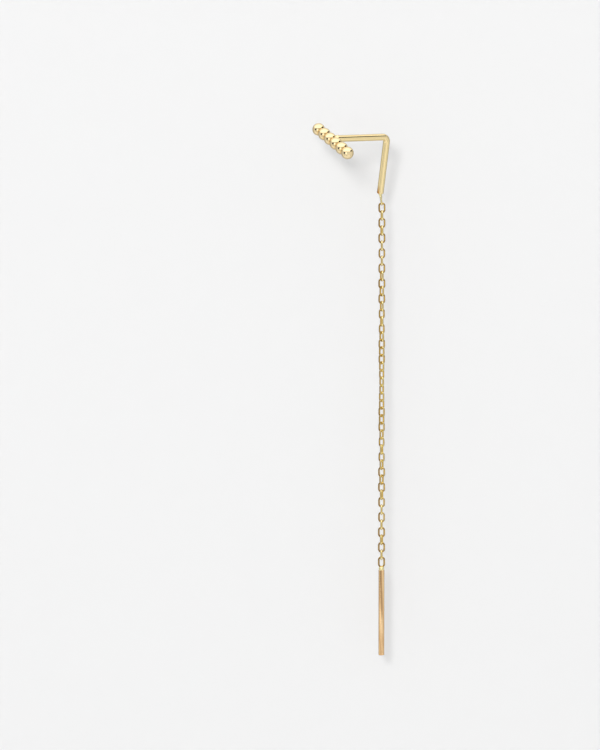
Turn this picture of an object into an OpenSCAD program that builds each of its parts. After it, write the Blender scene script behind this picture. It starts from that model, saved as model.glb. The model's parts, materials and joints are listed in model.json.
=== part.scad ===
// Threader earring: a bar of six polished beads on a bent ear wire, a fine cable chain
// and a plain stick that is threaded through the ear. Millimetres, +Z up.
// The origin is the middle of the post, where the ear lobe sits. The post runs along Y,
// with the bead bar at its -Y end, and the chain hangs straight down.

/* [Bead bar] */
// Number of beads soldered side by side
bead_count = 6; // [3:1:10]
// Diameter of each bead
bead_d = 1.75; // [1.2:0.05:2.5]
// How far neighbouring beads run into each other at their soldered seam
bead_overlap = 0.33; // [0.04:0.01:0.4]
// Angle by which the bar sits off square to the ear wire's leg
bar_twist = 5.5; // [-15:0.5:15]
// How far the bar's centre line lies below the post's
bar_drop = 0.35; // [0:0.05:0.5]

/* [Ear wire] */
// Diameter of the ear wire
wire_d = 0.95; // [0.6:0.05:1.1]
// Length of the post, from the bar's centre line to the corner of the bend
post_len = 9.4; // [6:0.1:16]
// Length of the leg behind the ear, from the corner of the bend to the wire's end
leg_len = 8.5; // [4:0.1:20]
// Inside angle between post and leg
bend_angle = 97; // [80:1:130]
// Radius of the bend, on the wire's centre line
bend_r = 0.9; // [0.6:0.05:2]
// How far the whole wire has swung round its post from hanging plumb
wire_roll = 19.5; // [-45:0.5:45]
// Rounding of the wire's cut end
wire_edge = 0.12; // [0.05:0.01:0.2]

/* [Chain] */
// Number of free links
link_count = 47; // [4:1:60]
// Distance from one link to the next
link_pitch = 1.056; // [0.9:0.002:1.6]
// Thickness of the link wire
link_wire = 0.2; // [0.14:0.01:0.22]
// Outer width of a link
link_w = 0.92; // [0.84:0.01:1.1]
// Play between two links where one hangs in the other
link_gap = 0.1; // [0.1:0.01:0.14]
// Twist of the hanging chain from its top to its bottom
chain_twist = 90; // [-180:5:180]
// Direction in which the first free link spreads, turned from +X
first_link_turn = 52; // [0:1:180]

/* [Stick] */
// Diameter of the stick
stick_d = 0.82; // [0.6:0.02:1.2]
// Length of the stick, without its solder
stick_len = 12; // [6:0.5:30]
// Rounding of the stick's lower edge
stick_edge = 0.12; // [0.05:0.01:0.2]

/* [Solder] */
// How far the eye link hangs under the wire's end, to the middle of its own wire
eye_drop = 0.28; // [0.1:0.01:0.4]
// Lean of the eye link away from plumb, as it is soldered
eye_lean = 10; // [0:1:15]
// Radius of the solder cone on the wire's end
tip_r = 0.26; // [0.2:0.01:0.3]
// Radius of the solder dome on the stick
dome_r = 0.38; // [0.24:0.01:0.4]
// Height of the solder dome over the stick's top
dome_h = 0.5; // [0.3:0.02:0.6]
// How far the last link sinks into the dome
dome_sink = 0.12; // [0.1:0.02:0.2]

/* [Hidden] */
$fn = 48;
gold = [0.92, 0.79, 0.46];
chain_gold = [0.80, 0.66, 0.36];
stick_gold = [0.89, 0.70, 0.45];

bead_pitch = bead_d - bead_overlap;
bar_y = -post_len / 2;
corner_y = post_len / 2;
// The wire stops inside the beads, just behind the bar's centre line
post_seat = wire_d / 4;
fillet_h = bead_d / 4;
fillet_r = wire_d / 2 + bead_d / 25;

turn = 180 - bend_angle;
bend_set_back = bend_r * tan(turn / 2);
leg_straight = leg_len - bend_set_back;
// The straight lengths are a hair thinner than the bend, and run a little way into it
lap = 0.03;
ease = 0.002;
rod_d = wire_d - 2 * ease;
// Where the leg ends, before and after the wire's roll round its post
leg_end_y = corner_y + leg_len * cos(turn);
leg_end_drop = leg_len * sin(turn);
wire_end = [-leg_end_drop * sin(wire_roll), leg_end_y, -leg_end_drop * cos(wire_roll)];

link_l = link_pitch + 2 * link_wire + link_gap;
link_reach = link_l - link_wire;
link_turn = 90 + chain_twist / link_count;
function turn_of(i) = first_link_turn + i * link_turn;

// The eye link leans about its own width, so the chain hangs from a point beside the wire's end
eye_turn = turn_of(-1);
eye_top = wire_end - [0, 0, eye_drop];
eye_side = link_reach * sin(eye_lean);
eye_low = eye_top + [-eye_side * sin(eye_turn), eye_side * cos(eye_turn), -link_reach * cos(eye_lean)];
first_link_z = eye_low.z + link_wire + link_gap - link_reach / 2;
function link_at(i) = [eye_low.x, eye_low.y, first_link_z - i * link_pitch];

last_link = link_at(link_count);
stick_top = last_link - [0, 0, link_l / 2 - dome_sink + dome_h];

// A rod from the origin up +Z, whose far edge is rounded
module rounded_rod(d, h, edge) {
    rotate_extrude() union() {
        square([d / 2 - edge, h]);
        square([d / 2, h - edge]);
        translate([d / 2 - edge, h - edge]) circle(edge);
    }
}

// One link, upright in the XZ plane: two half rings joined by two straight sides
module link() {
    ring_r = (link_w - link_wire) / 2;
    side = link_l - link_w;
    for (end = [-1, 1])
        translate([0, 0, end * side / 2])
            rotate([end * 90, 0, 0])
                rotate_extrude(angle = 180) translate([ring_r, 0]) circle(d = link_wire);
    for (x = [-ring_r, ring_r])
        translate([x, 0, -side / 2]) cylinder(d = link_wire, h = side);
}

module bead_bar() {
    for (i = [0 : bead_count - 1])
        translate([(i - (bead_count - 1) / 2) * bead_pitch, 0, 0]) sphere(d = bead_d);
}

// Post, bend and leg in one bent wire, with the solder fillet where it enters the beads
module bent_wire() {
    translate([0, bar_y + post_seat, 0]) rotate([-90, 0, 0])
        cylinder(d = rod_d, h = post_len - post_seat - bend_set_back + lap);
    translate([0, bar_y + bead_d / 4, 0]) rotate([-90, 0, 0])
        cylinder(r1 = fillet_r, r2 = rod_d / 2 - ease, h = fillet_h);
    translate([0, corner_y - bend_set_back, -bend_r]) rotate([0, -90, 0])
        rotate_extrude(angle = turn) translate([bend_r, 0]) circle(d = wire_d);
    translate([0, corner_y, 0]) rotate([-(90 + turn), 0, 0])
        translate([0, 0, bend_set_back - lap]) rounded_rod(rod_d, leg_straight + lap, wire_edge);
}

// Solder between the wire's end and the eye link
module solder_tip() {
    point_r = link_wire * 0.6;
    root = wire_d / 6;
    translate(wire_end - [0, 0, eye_drop + point_r])
        cylinder(r1 = point_r, r2 = tip_r, h = eye_drop + point_r + root);
}

module beaded_ear_wire() {
    color(gold) {
        rotate([0, wire_roll, 0]) {
            bent_wire();
            translate([0, bar_y, -bar_drop]) rotate([0, bar_twist, 0]) bead_bar();
        }
        solder_tip();
        translate(eye_top) rotate([0, 0, eye_turn]) rotate([eye_lean, 0, 0])
            translate([0, 0, -link_reach / 2]) link();
    }
}

module chain() {
    color(chain_gold)
        for (i = [0 : link_count - 1])
            translate(link_at(i)) rotate([0, 0, turn_of(i)]) link();
}

module end_stick() {
    color(stick_gold) {
        translate(last_link) rotate([0, 0, turn_of(link_count)]) link();
        translate(stick_top + [0, 0, dome_h - dome_r]) sphere(r = dome_r);
        translate(stick_top) rotate([180, 0, 0]) rounded_rod(stick_d, stick_len, stick_edge);
    }
}

beaded_ear_wire();
chain();
end_stick();
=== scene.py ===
"""A threader earring: six soldered beads on a bent ear wire, a fine cable chain and a stick.
Metres, in the row frame: the post runs along Y through the origin, and the chain hangs along -Z."""

import json
import math

import bpy
from mathutils import Euler, Matrix, Vector


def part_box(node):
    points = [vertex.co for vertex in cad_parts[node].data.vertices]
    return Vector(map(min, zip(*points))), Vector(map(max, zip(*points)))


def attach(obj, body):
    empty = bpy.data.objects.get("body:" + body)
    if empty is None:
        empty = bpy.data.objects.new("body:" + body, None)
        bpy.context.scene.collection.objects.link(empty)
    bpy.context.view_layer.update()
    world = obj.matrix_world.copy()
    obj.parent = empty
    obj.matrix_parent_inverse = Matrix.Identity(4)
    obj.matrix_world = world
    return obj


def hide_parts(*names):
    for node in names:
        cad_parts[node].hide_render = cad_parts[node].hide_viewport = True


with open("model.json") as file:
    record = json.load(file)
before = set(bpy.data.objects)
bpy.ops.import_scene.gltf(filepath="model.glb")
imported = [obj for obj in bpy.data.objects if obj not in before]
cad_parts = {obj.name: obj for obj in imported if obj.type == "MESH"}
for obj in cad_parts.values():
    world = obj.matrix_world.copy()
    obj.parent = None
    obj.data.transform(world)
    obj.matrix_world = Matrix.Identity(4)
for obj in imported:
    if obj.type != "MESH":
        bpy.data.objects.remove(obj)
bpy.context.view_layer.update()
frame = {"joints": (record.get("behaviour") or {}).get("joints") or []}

# The view: the camera stands a little above the earring, 52 degrees round from the post's own line.
# It looks at the middle of the picture, which lies in front of the chain, under the bar.
MM = 0.001
VIEW_TURN = math.radians(52.4)
VIEW_RISE = math.radians(4.94)
VIEW_AWAY = 800 * MM
VIEW_HEIGHT = 103.875 * MM
SENSOR = 24.0
look_at = Vector((-5.084, -6.603, -32.855)) * MM
to_right = Vector((math.cos(VIEW_TURN), math.sin(VIEW_TURN), 0))
to_viewer = Vector((math.sin(VIEW_TURN), -math.cos(VIEW_TURN), 0))
to_camera = to_viewer * math.cos(VIEW_RISE) + Vector((0, 0, math.sin(VIEW_RISE)))
bpy.ops.object.camera_add(location=look_at + to_camera * VIEW_AWAY)
camera = bpy.context.object
camera.rotation_euler = (-to_camera).to_track_quat("-Z", "Y").to_euler()
camera.data.sensor_fit = "VERTICAL"
camera.data.sensor_height = SENSOR
camera.data.sensor_width = SENSOR
camera.data.lens = SENSOR * VIEW_AWAY / VIEW_HEIGHT
camera.data.clip_start = 10 * MM
camera.data.clip_end = 10
bpy.context.scene.camera = camera


# Bead bar: six round beads of polished gold, soldered side by side into a straight bar.
# A fine seam of solder fills the groove between neighbours. The bar crosses the post's front end
# at a slant, because the whole wire has rolled round its post and the bar sits a little off square.
class Shade:
    """A socket in a material's node tree. Arithmetic on it adds Math nodes."""

    def __init__(self, tree, socket=None):
        self.tree = tree
        self.socket = socket

    def node(self, kind, settings=None, sockets=None, out=0):
        """Adds a node of this kind: first its settings, then the values or links of its sockets."""
        made = self.tree.nodes.new(kind)
        for name, value in (settings or {}).items():
            setattr(made, name, value)
        for name, value in (sockets or {}).items():
            if isinstance(value, Shade):
                self.tree.links.new(value.socket, made.inputs[name])
            else:
                made.inputs[name].default_value = value
        return Shade(self.tree, made.outputs[out] if made.outputs else None)

    def maths(self, operation, *values):
        return self.node("ShaderNodeMath", {"operation": operation}, dict(enumerate(values)))

    def __add__(self, other):
        return self.maths("ADD", self, other)

    def __radd__(self, other):
        return self.maths("ADD", other, self)

    def __sub__(self, other):
        return self.maths("SUBTRACT", self, other)

    def __rsub__(self, other):
        return self.maths("SUBTRACT", other, self)

    def __mul__(self, other):
        return self.maths("MULTIPLY", self, other)

    def __rmul__(self, other):
        return self.maths("MULTIPLY", other, self)


def tint(colour):
    return (*colour, 1.0)


def new_metal(name):
    """A bare material, with the place on the piece in the row frame."""
    metal = bpy.data.materials.new(name)
    metal.use_nodes = True
    metal.node_tree.nodes.clear()
    return metal, Shade(metal.node_tree).node("ShaderNodeTexCoord", out="Object")


def grain(place, scale, detail, stretch=(1, 1, 1)):
    """Soft noise from 0 to 1 of this scale, in features per metre, stretched along the axes."""
    moved = place.node("ShaderNodeMapping", sockets={"Vector": place, "Scale": stretch})
    return place.node(
        "ShaderNodeTexNoise", sockets={"Vector": moved, "Scale": scale, "Detail": detail}, out="Fac"
    )


def marked(place, name):
    """The share from 0 to 1 that mark stored under this name."""
    return place.node("ShaderNodeAttribute", {"attribute_name": name}, out="Fac")


def blend_colours(share, first, second):
    """First where share is 0, second where it is 1. Each is a colour or a Shade of one."""
    made = share.node(
        "ShaderNodeMix", {"data_type": "RGBA", "clamp_factor": True}, {"Factor": share}, out=2
    )
    for index, colour in ((6, first), (7, second)):
        socket = made.socket.node.inputs[index]
        if isinstance(colour, Shade):
            share.tree.links.new(colour.socket, socket)
        else:
            socket.default_value = tint(colour)
    return made


def smooth_step(value, low, high):
    """0 at low, 1 at high, and smooth between them."""
    return value.node(
        "ShaderNodeMapRange", {"interpolation_type": "SMOOTHSTEP"},
        {"Value": value, "From Min": low, "From Max": high}, out="Result"
    )


def finish_metal(metal, colour, roughness, bump_height, bump_depth):
    """Closes the material with one metal shader."""
    shade = Shade(metal.node_tree)
    bump = shade.node(
        "ShaderNodeBump", sockets={"Height": bump_height, "Distance": bump_depth, "Strength": 1.0}
    )
    surface = shade.node(
        "ShaderNodeBsdfPrincipled",
        sockets={"Base Color": colour, "Roughness": roughness, "Metallic": 1.0, "Normal": bump},
    )
    shade.node("ShaderNodeOutputMaterial", sockets={"Surface": surface})


def alone():
    """Deselects everything, so that the next operator acts on its own piece alone."""
    bpy.ops.object.select_all(action="DESELECT")


def pick(piece, test):
    """In edit mode: selects what has all its vertices where the place passes the test."""
    bpy.ops.object.mode_set(mode="OBJECT")
    for part in (*piece.data.vertices, *piece.data.edges, *piece.data.polygons):
        part.select = False
    for vertex in piece.data.vertices:
        vertex.select = test(vertex.co)
    for edge in piece.data.edges:
        edge.select = all(piece.data.vertices[i].select for i in edge.vertices)
    for face in piece.data.polygons:
        face.select = all(piece.data.vertices[i].select for i in face.vertices)
    bpy.ops.object.mode_set(mode="EDIT")


def close_shell(gap):
    """In edit mode: merges what meets and turns every face outwards, then leaves edit mode."""
    bpy.ops.mesh.select_all(action="SELECT")
    bpy.ops.mesh.remove_doubles(threshold=gap)
    bpy.ops.mesh.normals_make_consistent(inside=False)
    bpy.ops.object.mode_set(mode="OBJECT")


def mark(piece, name, share_at):
    """Stores a share from 0 to 1 on each vertex, worked out from its place, for a material."""
    layer = piece.data.attributes.new(name, "FLOAT", "POINT")
    for vertex in piece.data.vertices:
        layer.data[vertex.index].value = min(max(share_at(vertex.co), 0.0), 1.0)


SMOOTH_BELOW = math.radians(40)


def settle(piece, name, turn, place, metal, body):
    """Turns and places a finished mesh, smooths it, and gives it its metal, slot and body."""
    alone()
    piece.select_set(True)
    bpy.context.view_layer.objects.active = piece
    piece.name = name
    piece.data.name = name
    piece.matrix_world = Matrix.Translation(place) @ turn.to_matrix().to_4x4() @ piece.matrix_world
    bpy.ops.object.transform_apply(location=True, rotation=True, scale=True)
    bpy.ops.object.shade_smooth_by_angle(angle=SMOOTH_BELOW)
    piece.data.materials.clear()
    piece.data.materials.append(metal)
    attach(piece, body)


BEADS = 6
BEAD_D = 1.75 * MM
BEAD_PITCH = 1.42 * MM
SEAM_FILLET = 0.06 * MM
SEAM_SHADE_REACH = 0.20 * MM
BEAD_SIDES = 64
BEAD_GOLD = (0.91, 0.76, 0.48)
BEAD_GOLD_DEEP = (0.86, 0.70, 0.41)
SEAM_SHADE_GOLD = (0.72, 0.44, 0.14)
WIRE_ROLL = math.radians(19.5)
BAR_TWIST = math.radians(5.5)
BAR_DROP = 0.35 * MM
POST_LEN = 9.4 * MM
TINY = 0.002 * MM
roll = Euler((0, WIRE_ROLL, 0))
bar_middle = roll.to_matrix() @ Vector((0, -POST_LEN / 2, -BAR_DROP))

outlines = []
for i in range(BEADS):
    alone()
    middle = (i - (BEADS - 1) / 2) * BEAD_PITCH
    bpy.ops.mesh.primitive_circle_add(
        vertices=BEAD_SIDES, radius=BEAD_D / 2, location=(middle, 0, 0),
        rotation=(math.pi / 2, 0, 0)
    )
    bpy.ops.object.transform_apply(location=True, rotation=True, scale=True)
    outline = bpy.context.object
    bpy.ops.object.mode_set(mode="EDIT")
    cuts = [((0, 0, 0), (0, 0, -1))]
    if i > 0:
        cuts.append(((middle - BEAD_PITCH / 2, 0, 0), (-1, 0, 0)))
    if i < BEADS - 1:
        cuts.append(((middle + BEAD_PITCH / 2, 0, 0), (1, 0, 0)))
    for at, outwards in cuts:
        bpy.ops.mesh.select_all(action="SELECT")
        bpy.ops.mesh.bisect(plane_co=at, plane_no=outwards, clear_outer=True, threshold=TINY / 10)
    bpy.ops.object.mode_set(mode="OBJECT")
    outlines.append(outline)
alone()
for outline in outlines:
    outline.select_set(True)
bpy.context.view_layer.objects.active = outlines[0]
bpy.ops.object.join()
bead_bar = bpy.context.object
bpy.ops.object.mode_set(mode="EDIT")
bpy.ops.mesh.select_all(action="SELECT")
bpy.ops.mesh.remove_doubles(threshold=TINY)
seams = [(i - BEADS / 2) * BEAD_PITCH for i in range(1, BEADS)]
pick(bead_bar, lambda co: any(abs(co.x - seam) < TINY for seam in seams))
bpy.ops.mesh.bevel(affect="VERTICES", offset=SEAM_FILLET, segments=4)
bpy.ops.mesh.select_all(action="SELECT")
bpy.ops.mesh.spin(steps=BEAD_SIDES, angle=2 * math.pi, center=(0, 0, 0), axis=(1, 0, 0))
close_shell(TINY)
# Deeper amber gold towards each groove between beads is painted shade and painted reflection of the
# neighbouring beads
mark(bead_bar, "seam", lambda co: 1 - min(abs(co.x - seam) for seam in seams) / SEAM_SHADE_REACH)

bead_metal, bead_place = new_metal("polished_bead_gold")
bead_gold = blend_colours(grain(bead_place, 900, 3), BEAD_GOLD, BEAD_GOLD_DEEP)
finish_metal(
    bead_metal,
    colour=blend_colours(marked(bead_place, "seam"), bead_gold, SEAM_SHADE_GOLD),
    roughness=grain(bead_place, 2500, 4) * 0.05 + 0.03,
    bump_height=grain(bead_place, 1400, 2),
    bump_depth=0.003 * MM,
)
bar_turn = Euler((0, WIRE_ROLL + BAR_TWIST, 0))
settle(bead_bar, "bead_bar", bar_turn, bar_middle, bead_metal, "hanger")


# Ear wire: one round gold wire, bent once by hand round a small former. Its front end is let into
# the groove between the two middle beads and soldered there. The straight post goes through the
# ear, and the leg behind it ends in a flat cut, browner towards the cut on the leg's left side.
WIRE_D = 0.95 * MM
WIRE_SIDES = 48
BEND_R = 0.9 * MM
BEND_STEPS = 24
LEG_LEN = 8.5 * MM
CUT_EDGE = 0.1 * MM
BROWN_REACH = 1.3 * MM
WIRE_GOLD = (0.94, 0.79, 0.46)
WIRE_GOLD_DEEP = (0.90, 0.73, 0.39)
END_BROWN = (0.55, 0.24, 0.04)
bend_turn = math.radians(180 - 97)
set_back = BEND_R * math.tan(bend_turn / 2)
post_start = -POST_LEN / 2 + WIRE_D / 4
bend_start = POST_LEN / 2 - set_back
leg_way = Vector((0, math.cos(bend_turn), -math.sin(bend_turn)))

# The solder round the post's foot: how far on along the post, and how wide against the wire
FOOT = ((0.0, 0.5), (0.30, 1.05), (0.20, 1.05), (0.30, 1.0))
alone()
bpy.ops.mesh.primitive_circle_add(
    vertices=WIRE_SIDES, radius=WIRE_D / 2 * FOOT[0][1], location=(0, post_start, 0),
    rotation=(-math.pi / 2, 0, 0)
)
bpy.ops.object.transform_apply(location=True, rotation=True, scale=True)
ear_wire = bpy.context.object
bpy.ops.object.mode_set(mode="EDIT")
bpy.ops.mesh.select_all(action="SELECT")
for (_, width), (step, next_width) in zip(FOOT, FOOT[1:]):
    bpy.ops.mesh.extrude_region_move(TRANSFORM_OT_translate={"value": (0, step * MM, 0)})
    grow = next_width / width
    bpy.ops.transform.resize(value=(grow, 1, grow), center_override=(0, 0, 0))
foot_end = post_start + sum(step for step, width in FOOT) * MM
bpy.ops.mesh.extrude_region_move(TRANSFORM_OT_translate={"value": (0, bend_start - foot_end, 0)})
bpy.ops.mesh.spin(
    steps=BEND_STEPS, angle=bend_turn, center=(0, bend_start, -BEND_R), axis=(1, 0, 0)
)
for length in (LEG_LEN - set_back - BROWN_REACH, BROWN_REACH):
    bpy.ops.mesh.extrude_region_move(TRANSFORM_OT_translate={"value": leg_way * length})
bpy.ops.mesh.edge_face_add()
bpy.ops.mesh.bevel(affect="EDGES", offset=CUT_EDGE, segments=4)
pick(ear_wire, lambda co: co.y < post_start + TINY)
bpy.ops.mesh.edge_face_add()
close_shell(TINY)

wire_metal, wire_place = new_metal("polished_wire_gold")
wire_gold = blend_colours(grain(wire_place, 700, 3), WIRE_GOLD, WIRE_GOLD_DEEP)
finish_metal(
    wire_metal,
    colour=blend_colours(marked(wire_place, "end_brown"), wire_gold, END_BROWN),
    roughness=grain(wire_place, 2500, 4) * 0.06 + 0.05,
    bump_height=grain(wire_place, 1100, 2),
    bump_depth=0.001 * MM,
)
settle(ear_wire, "ear_wire", roll, Vector((0, 0, 0)), wire_metal, "hanger")
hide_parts("beaded_ear_wire")
wire_end = roll.to_matrix() @ (Vector((0, POST_LEN / 2, 0)) + leg_way * LEG_LEN)
leg_line = roll.to_matrix() @ leg_way


# The brown starts this share of the wire's radius off its middle, and grows this fast
BROWN_SIDE = 0.2
BROWN_GROWTH = 4


def end_brown_at(place):
    """Strongest at the cut, on the side of the leg that faces left."""
    offset = place - wire_end
    along_leg = offset.dot(leg_line)
    sideways = (offset - leg_line * along_leg).dot(-to_right) / (WIRE_D / 2)
    return max(0.0, 1 + along_leg / BROWN_REACH) * max(0.0, sideways - BROWN_SIDE) * BROWN_GROWTH


mark(ear_wire, "end_brown", end_brown_at)


# Eye link and its solder: a chain link is soldered to the flat end of the wire.
# A pale cone of solder runs down its top, and the link leans a little out of plumb.
LINK_WIRE = 0.24 * MM
LINK_W = 0.99 * MM
LINK_SIDES = 12
LINK_STEPS = 12
LINK_COUNT = 47
LINK_PITCH = 1.056 * MM
CAD_WIRE = 0.20 * MM
CAD_PLAY = 0.1 * MM
cad_length = LINK_PITCH + 2 * CAD_WIRE + CAD_PLAY
FIRST_TURN = math.radians(52)
LINK_TURN = math.radians(90 + 90 / LINK_COUNT)


def make_link(length):
    """An oval link of bent wire round the origin, upright in the XZ plane."""
    ring_r = (LINK_W - LINK_WIRE) / 2
    half_side = (length - LINK_W) / 2
    alone()
    bpy.ops.mesh.primitive_circle_add(
        vertices=LINK_SIDES, radius=LINK_WIRE / 2, location=(ring_r, 0, -half_side)
    )
    bpy.ops.object.transform_apply(location=True, rotation=True, scale=True)
    link = bpy.context.object
    bpy.ops.object.mode_set(mode="EDIT")
    bpy.ops.mesh.select_all(action="SELECT")
    for way in (1, -1):
        bpy.ops.mesh.extrude_region_move(
            TRANSFORM_OT_translate={"value": (0, 0, way * 2 * half_side)}
        )
        bpy.ops.mesh.spin(
            steps=LINK_STEPS, angle=math.pi, center=(0, 0, way * half_side), axis=(0, 1, 0)
        )
    close_shell(TINY)
    return link


# The stick's hinge lies on the chain's line. The first free link's middle is at first_z.
pivot = Vector(frame["joints"][0]["pos_m"])
chain_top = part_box("chain")[1].z
first_z = chain_top - cad_length / 2 - CAD_PLAY / 2

# How far the marks reach above and below a crossing of two links
RUBBED_HIGHLIGHT_REACH = 0.30 * MM
PAINTED_SHADE_REACH = 0.34 * MM
FRONT_REACH = 0.40 * MM


def crossing_share(place, reach):
    """1 close to where two links cross, and 0 from this far above or below it."""
    steps = (first_z - place.z) / LINK_PITCH + 0.5
    return max(0.0, 1.5 - 1.5 * abs(steps - round(steps)) * LINK_PITCH / reach)


def beyond(distance, start, growth):
    """0 up to this many millimetres, and growing by this much a millimetre from there."""
    return max(0.0, distance / MM - start) * growth


def rubbed_highlight_at(place):
    """Worn bright, and given a painted highlight, on the links' ends in front, where they turn
    round their neighbours.
    """
    forward = (place - pivot).dot(to_viewer)
    return crossing_share(place, RUBBED_HIGHLIGHT_REACH) * beyond(forward, 0.12, 8)


def painted_shade_at(place):
    """Painted shade beside the crossings, most of all on the left, and on front sides."""
    aside, forward = (place - pivot).dot(to_right), (place - pivot).dot(to_viewer)
    beside = beyond(-aside, 0.06, 7) + beyond(aside, 0.12, 4)
    front = beyond(forward, 0.22, 4) * (1.0 - min(1.0, crossing_share(place, FRONT_REACH)))
    return crossing_share(place, PAINTED_SHADE_REACH) * beside + front


def mark_link(link):
    mark(link, "rubbed_highlight", rubbed_highlight_at)
    mark(link, "painted_shade", painted_shade_at)


LINK_GOLD = (0.88, 0.65, 0.21)
LINK_GOLD_DEEP = (0.62, 0.42, 0.10)
RUBBED_HIGHLIGHT_GOLD = (1.0, 0.90, 0.48)
PAINTED_SHADE_BROWN = (0.26, 0.14, 0.03)
PAINTED_SHADE_SHARE = 0.85
SOLDERED_GOLD = (0.82, 0.74, 0.44)
chain_metal, chain_place = new_metal("chain_gold")
chain_gold = blend_colours(grain(chain_place, 1500, 3), LINK_GOLD, LINK_GOLD_DEEP)
# Worn bright, with a painted highlight, on the fronts of the crossings
chain_gold = blend_colours(marked(chain_place, "rubbed_highlight"), chain_gold, RUBBED_HIGHLIGHT_GOLD)
# Painted shade beside the crossings, most on the left, and on the links' front sides
chain_gold = blend_colours(marked(chain_place, "painted_shade") * PAINTED_SHADE_SHARE, chain_gold, PAINTED_SHADE_BROWN)
finish_metal(
    chain_metal,
    colour=blend_colours(marked(chain_place, "soldered"), chain_gold, SOLDERED_GOLD),
    roughness=grain(chain_place, 3500, 4) * 0.12 + 0.12,
    bump_height=grain(chain_place, 3000, 2),
    bump_depth=0.003 * MM,
)

EYE_DROP = 0.28 * MM
EYE_LEAN = math.radians(10)
SOLDER_FADE = 0.5 * MM
eye_rest = Euler((EYE_LEAN, 0, FIRST_TURN - LINK_TURN))
eye_way = eye_rest.to_matrix() @ Vector((0, 0, -1))
eye_reach = cad_length - CAD_WIRE
eye_middle = wire_end - Vector((0, 0, EYE_DROP)) + eye_way * eye_reach / 2
eye_link = make_link(eye_reach + LINK_WIRE)
settle(eye_link, "eye_link", eye_rest, eye_middle, chain_metal, "hanger")
mark_link(eye_link)
mark(eye_link, "soldered", lambda place: (place.z - eye_middle.z) / SOLDER_FADE + 1.0)

SOLDER_PALE = (0.91, 0.84, 0.50)
SOLDER_DEEP = (0.80, 0.71, 0.39)
solder_metal, solder_place = new_metal("pale_solder")
finish_metal(
    solder_metal,
    colour=blend_colours(grain(solder_place, 2500, 3), SOLDER_PALE, SOLDER_DEEP),
    roughness=grain(solder_place, 4000, 3) * 0.15 + 0.20,
    bump_height=grain(solder_place, 3000, 3),
    bump_depth=0.012 * MM,
)

# The solder, from inside the wire down the link: how far on, and how thick across the link.
# It is wider along the link, so that it wraps the link's top.
TIP = (
    (0.0, 0.62), (0.10, 0.60), (0.14, 0.50), (0.20, 0.40), (0.25, 0.33), (0.30, 0.27),
    (0.15, 0.16)
)
TIP_SPREAD = 1.5
TIP_SUNK = 0.10 * MM
alone()
bpy.ops.mesh.primitive_circle_add(
    vertices=LINK_SIDES * 2, radius=TIP[0][1] / 2 * MM, rotation=(math.pi, 0, 0), fill_type="NGON"
)
solder_tip = bpy.context.object
solder_tip.scale = (TIP_SPREAD, 1, 1)
bpy.ops.object.transform_apply(location=True, rotation=True, scale=True)
bpy.ops.object.mode_set(mode="EDIT")
bpy.ops.mesh.select_all(action="SELECT")
for (_, width), (step, next_width) in zip(TIP, TIP[1:]):
    bpy.ops.mesh.extrude_region_move(TRANSFORM_OT_translate={"value": (0, 0, -step * MM)})
    bpy.ops.transform.resize(value=(next_width / width, next_width / width, 1))
close_shell(TINY / 4)
tip_place = wire_end - eye_way * TIP_SUNK
settle(solder_tip, "solder_tip", eye_rest, tip_place, solder_metal, "hanger")

# Cable chain: 47 free oval links of thin round gold wire, each a quarter turn from the next, give
# or take a few degrees. They rest in each other, worn bright where they touch, with a painted
# highlight on the fronts there and painted shade beside the crossings. The hanging chain winds by
# a further quarter turn to its end.
SLACK_TURN = math.radians(11)
SLACK_STEP = 2.4
pattern = make_link(LINK_PITCH + 2 * LINK_WIRE)
links = []
for i in range(LINK_COUNT):
    link = pattern.copy()
    link.data = pattern.data.copy()
    bpy.context.scene.collection.objects.link(link)
    slack = SLACK_TURN * math.sin(i * SLACK_STEP)
    turn = Euler((0, 0, FIRST_TURN + i * LINK_TURN + slack)).to_matrix().to_4x4()
    link.matrix_world = Matrix.Translation((pivot.x, pivot.y, first_z - i * LINK_PITCH)) @ turn
    links.append(link)
alone()
for link in links:
    link.select_set(True)
bpy.context.view_layer.objects.active = links[0]
bpy.ops.object.transform_apply(location=True, rotation=True, scale=True)
bpy.ops.object.join()
cable_chain = bpy.context.object
upright, no_shift = Euler((0, 0, 0)), Vector((0, 0, 0))
settle(cable_chain, "cable_chain", upright, no_shift, chain_metal, "hanger")
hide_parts("chain")
mark_link(cable_chain)

# Stick: a plain round rod of warmer gold, drawn and lightly brushed along its length, which leads
# the chain through the ear. A dome of pale solder on its top holds the chain's last link.
STICK_D = 0.82 * MM
STICK_LEN = 12 * MM
STICK_EDGE = 0.12 * MM
STICK_SIDES = 48
STICK_GOLD = (0.93, 0.66, 0.38)
STICK_GOLD_DEEP = (0.78, 0.49, 0.25)
stick_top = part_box("end_stick")[0].z + STICK_LEN

alone()
bpy.ops.mesh.primitive_circle_add(
    vertices=STICK_SIDES, radius=STICK_D / 2, location=(pivot.x, pivot.y, stick_top),
    fill_type="NGON"
)
bpy.ops.object.transform_apply(location=True, rotation=True, scale=True)
stick = bpy.context.object
bpy.ops.object.mode_set(mode="EDIT")
bpy.ops.mesh.select_all(action="SELECT")
bpy.ops.mesh.extrude_region_move(TRANSFORM_OT_translate={"value": (0, 0, -STICK_LEN)})
bpy.ops.mesh.bevel(affect="EDGES", offset=STICK_EDGE, segments=5)
pick(stick, lambda co: co.z > stick_top - TINY)
bpy.ops.mesh.bevel(affect="EDGES", offset=STICK_EDGE / 3, segments=3)
close_shell(TINY)

stick_metal, stick_place = new_metal("satin_stick_gold")
draw_lines = grain(stick_place, 9000, 3, stretch=(1, 1, 0.02))
stick_gold = blend_colours(
    smooth_step(grain(stick_place, 2200, 3, stretch=(1, 1, 0.12)), 0.42, 0.68),
    STICK_GOLD, STICK_GOLD_DEEP
)


def along(place, way):
    """How far a place lies this way from the chain's line."""
    reach = place.node(
        "ShaderNodeVectorMath", {"operation": "DOT_PRODUCT"}, {0: place, 1: way}, out="Value"
    )
    return reach - pivot.dot(way)
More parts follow.
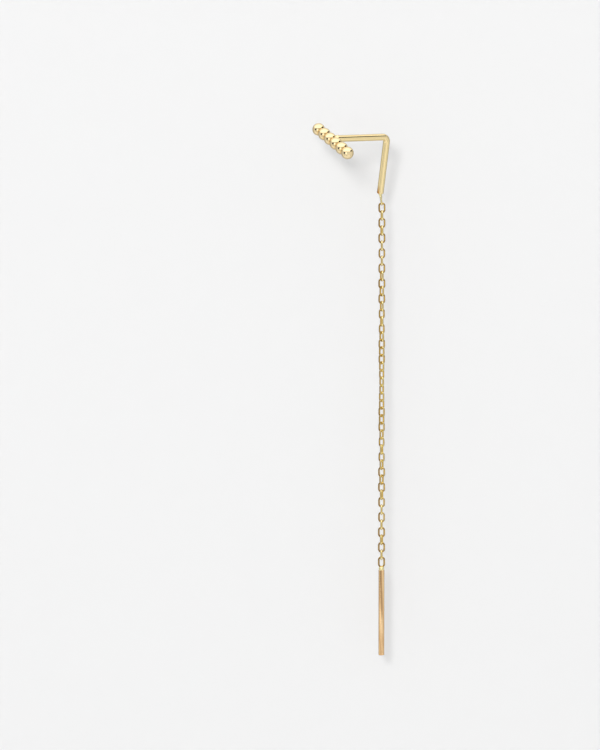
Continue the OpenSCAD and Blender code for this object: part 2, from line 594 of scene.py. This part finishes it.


# A narrow dark streak on its front, a little aslant and fading out below the solder, is a painted
# reflection of a dark card
LINE_ASIDE = -0.06 * MM
LINE_SLANT = 0.02
LINE_REFLECTION_BROWN = (0.38, 0.23, 0.11)
height = stick_place.node("ShaderNodeSeparateXYZ", sockets={"Vector": stick_place}, out="Z")
below = stick_top - height
from_line = along(stick_place, to_right) - LINE_ASIDE - below * LINE_SLANT
from_line = from_line.maths("ABSOLUTE", from_line)
painted_reflection_line = (
    (1.0 - smooth_step(from_line, 0.07 * MM, 0.17 * MM))
    * (1.0 - smooth_step(below, 4.5 * MM, 8.0 * MM))
    * smooth_step(along(stick_place, to_viewer), 0.0, 0.1 * MM)
)
finish_metal(
    stick_metal,
    colour=blend_colours(painted_reflection_line * 0.85, stick_gold, LINE_REFLECTION_BROWN),
    roughness=draw_lines * 0.12 + 0.18,
    bump_height=draw_lines,
    bump_depth=0.004 * MM,
)
settle(stick, "threading_stick", upright, no_shift, stick_metal, "drop")
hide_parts("end_stick")

DOME_R = 0.38 * MM
DOME_H = 0.5 * MM
DOME_EDGE = DOME_R * 0.75
DOME_ROOT = 0.03 * MM
alone()
bpy.ops.mesh.primitive_circle_add(
    vertices=STICK_SIDES, radius=DOME_R, location=(pivot.x, pivot.y, stick_top - DOME_ROOT),
    fill_type="NGON"
)
bpy.ops.object.transform_apply(location=True, rotation=True, scale=True)
solder_dome = bpy.context.object
bpy.ops.object.mode_set(mode="EDIT")
bpy.ops.mesh.select_all(action="SELECT")
bpy.ops.mesh.extrude_region_move(TRANSFORM_OT_translate={"value": (0, 0, DOME_H + DOME_ROOT)})
bpy.ops.mesh.bevel(affect="EDGES", offset=DOME_EDGE, segments=8)
close_shell(TINY / 4)
settle(solder_dome, "solder_dome", upright, no_shift, solder_metal, "drop")

# The link on the stick has a little play, so that it can swing out square to the chain
END_PLAY = 0.06 * MM
end_link = make_link(LINK_PITCH + 2 * LINK_WIRE + END_PLAY)
end_turn = Euler((0, 0, FIRST_TURN + LINK_COUNT * LINK_TURN))
end_place = Vector((pivot.x, pivot.y, first_z - LINK_COUNT * LINK_PITCH + END_PLAY / 2))
settle(end_link, "end_link", end_turn, end_place, chain_metal, "drop")
mark_link(end_link)

alone()
pattern.select_set(True)
bpy.ops.object.delete()


# Studio: a plain pale wall stands just behind the chain, square to the view, with a pale floor.
# Soft lights from the upper left throw the faint shadows. The polished gold mirrors a dim tent with
# a bright softbox overhead and a few dark cards, which give it its bright patches and dark lines.
WALL_GAP = 6.0 * MM
WALL_GREY = 0.76
WALL_WIDE = 0.8
FLOOR_Z = -140 * MM
FLOOR_WIDE = 4.0
WORLD_GREY = (0.840, 0.841, 0.844)
chain_spot = Vector((pivot.x, pivot.y, look_at.z))
wall_spot = chain_spot - to_viewer * WALL_GAP

wall_paint = bpy.data.materials.new("pale_wall")
wall_paint.use_nodes = True
wall_paint.node_tree.nodes.clear()
paint = Shade(wall_paint.node_tree)
side = paint.node("ShaderNodeNewGeometry", out="Backfacing")
front = paint.node("ShaderNodeBsdfDiffuse", sockets={"Color": tint((WALL_GREY,) * 3)})
behind = paint.node("ShaderNodeBsdfTransparent")
seen = paint.node("ShaderNodeMixShader", sockets={0: side, 1: front, 2: behind})
paint.node("ShaderNodeOutputMaterial", sockets={"Surface": seen})

alone()
bpy.ops.mesh.primitive_plane_add(size=WALL_WIDE)
wall = bpy.context.object
wall.name = "studio_wall"
wall_turn = to_viewer.to_track_quat("Z", "Y").to_matrix().to_4x4()
wall.matrix_world = Matrix.Translation(wall_spot) @ wall_turn
bpy.ops.object.transform_apply(location=True, rotation=True, scale=True)
wall.data.materials.append(wall_paint)

floor_paint = bpy.data.materials.new("pale_floor")
floor_paint.use_nodes = True
floor_surface = floor_paint.node_tree.nodes["Principled BSDF"]
floor_surface.inputs["Base Color"].default_value = tint((WALL_GREY,) * 3)
floor_surface.inputs["Roughness"].default_value = 0.9
alone()
bpy.ops.mesh.primitive_plane_add(size=FLOOR_WIDE, location=(0, 0, FLOOR_Z))
floor = bpy.context.object
floor.name = "studio_floor"
bpy.ops.object.transform_apply(location=True, rotation=True, scale=True)
floor.data.materials.append(floor_paint)
for surface in (wall, floor):
    surface.visible_glossy = False

world = bpy.data.worlds.new("pale_studio")
bpy.context.scene.world = world
world.use_nodes = True
world.node_tree.nodes["Background"].inputs["Color"].default_value = tint(WORLD_GREY)
world.node_tree.nodes["Background"].inputs["Strength"].default_value = 1.0
bpy.context.scene.view_settings.view_transform = "Standard"


def aim(turn, rise, away):
    """A point this far from the post, turned to the right of the camera and raised, in degrees."""
    across, upwards = math.radians(turn), math.radians(rise)
    level = to_viewer * math.cos(across) + to_right * math.sin(across)
    return (level * math.cos(upwards) + Vector((0, 0, math.sin(upwards)))) * away


def add_light(name, place, size, watts):
    """A square soft light that shows in no reflection."""
    light = bpy.data.lights.new(name, "AREA")
    light.size = size
    light.energy = watts
    lamp = bpy.data.objects.new(name, light)
    bpy.context.scene.collection.objects.link(lamp)
    lamp.location = place
    lamp.rotation_euler = place.to_track_quat("Z", "Y").to_euler()
    lamp.visible_glossy = False
    lamp.visible_camera = False


add_light("front_soft_light", aim(-1.4, 7.2, 1.5), 0.09, 2.0)
add_light("side_soft_light", aim(-9.5, 13.8, 1.7), 0.32, 8.8)


GLOW_TINT = (1.0, 0.98, 0.94)


def show_in_metal_alone(thing, name, strength_at):
    """Gives the thing a glow that only the polished surfaces mirror, worked out from its place."""
    glow = bpy.data.materials.new(name)
    glow.use_nodes = True
    glow.node_tree.nodes.clear()
    place = Shade(glow.node_tree).node("ShaderNodeTexCoord", out="Object")
    light = place.node(
        "ShaderNodeEmission", sockets={"Color": tint(GLOW_TINT), "Strength": strength_at(place)}
    )
    place.node("ShaderNodeOutputMaterial", sockets={"Surface": light})
    thing.name = name
    thing.data.materials.append(glow)
    thing.visible_camera = False
    thing.visible_diffuse = False
    thing.visible_shadow = False


# The tent: its ceiling is a softbox, its walls are dimmer, and it is darkest behind the earring
TENT_R = 1.6
TENT_SIDES = 0.85
TENT_FLOOR = 1.02
TENT_CEILING = 1.6
CEILING_FROM = math.radians(26)
CEILING_BLUR = 0.10
BEHIND_SHARE = 0.62
BEHIND_BLUR = 0.4
FLOOR_FROM, FLOOR_TO = 0.35, 0.6


def tent_glow(place):
    way = place.node("ShaderNodeVectorMath", {"operation": "NORMALIZE"}, {0: place})
    height = way.node("ShaderNodeSeparateXYZ", sockets={"Vector": way}, out="Z")
    facing = way.node(
        "ShaderNodeVectorMath", {"operation": "DOT_PRODUCT"}, {0: way, 1: to_viewer}, out="Value"
    )
    edge = math.sin(CEILING_FROM)
    ceiling = smooth_step(height, edge - CEILING_BLUR, edge + CEILING_BLUR)
    dimming = 1.0 - smooth_step(facing * -1.0, 0.0, BEHIND_BLUR) * (1.0 - BEHIND_SHARE)
    floor_light = smooth_step(height * -1.0, FLOOR_FROM, FLOOR_TO)
    floor_light = floor_light * (TENT_FLOOR - TENT_SIDES)
    return (ceiling * (TENT_CEILING - TENT_SIDES) + TENT_SIDES + floor_light) * dimming


alone()
bpy.ops.mesh.primitive_uv_sphere_add(segments=48, ring_count=24, radius=TENT_R)
show_in_metal_alone(bpy.context.object, "studio_tent", tent_glow)


def add_card(name, turn, rise, wide, tall, away, strength=0.02):
    """A flat card that faces the earring, with its direction and size in degrees."""
    place = aim(turn, rise, away)
    facing = place.to_track_quat("-Z", "Y").to_matrix().to_4x4()
    sides = [2 * away * math.tan(math.radians(angle / 2)) for angle in (wide, tall)]
    alone()
    bpy.ops.mesh.primitive_plane_add(size=1.0)
    card = bpy.context.object
    card.matrix_world = Matrix.Translation(place) @ facing @ Matrix.Diagonal((*sides, 1, 1))
    bpy.ops.object.transform_apply(location=True, rotation=True, scale=True)
    show_in_metal_alone(card, name, lambda place: strength)


add_card("left_dark_card", -58, 1, 30, 26, 0.36)
add_card("front_white_card", -22, -4, 24, 34, 0.37, strength=1.6)
add_card("leg_middle_card", -15, -43, 12, 30, 0.36, strength=0.62)
add_card("leg_right_card", 74, -38, 18, 30, 0.36, strength=0.70)
add_card("low_left_card", -54, -31, 22, 18, 0.36, strength=0.60)
add_card("right_dark_card", 84, 30, 44, 20, 0.36)
add_card("frame_dark_card", -5, 22, 110, 5, 0.36)
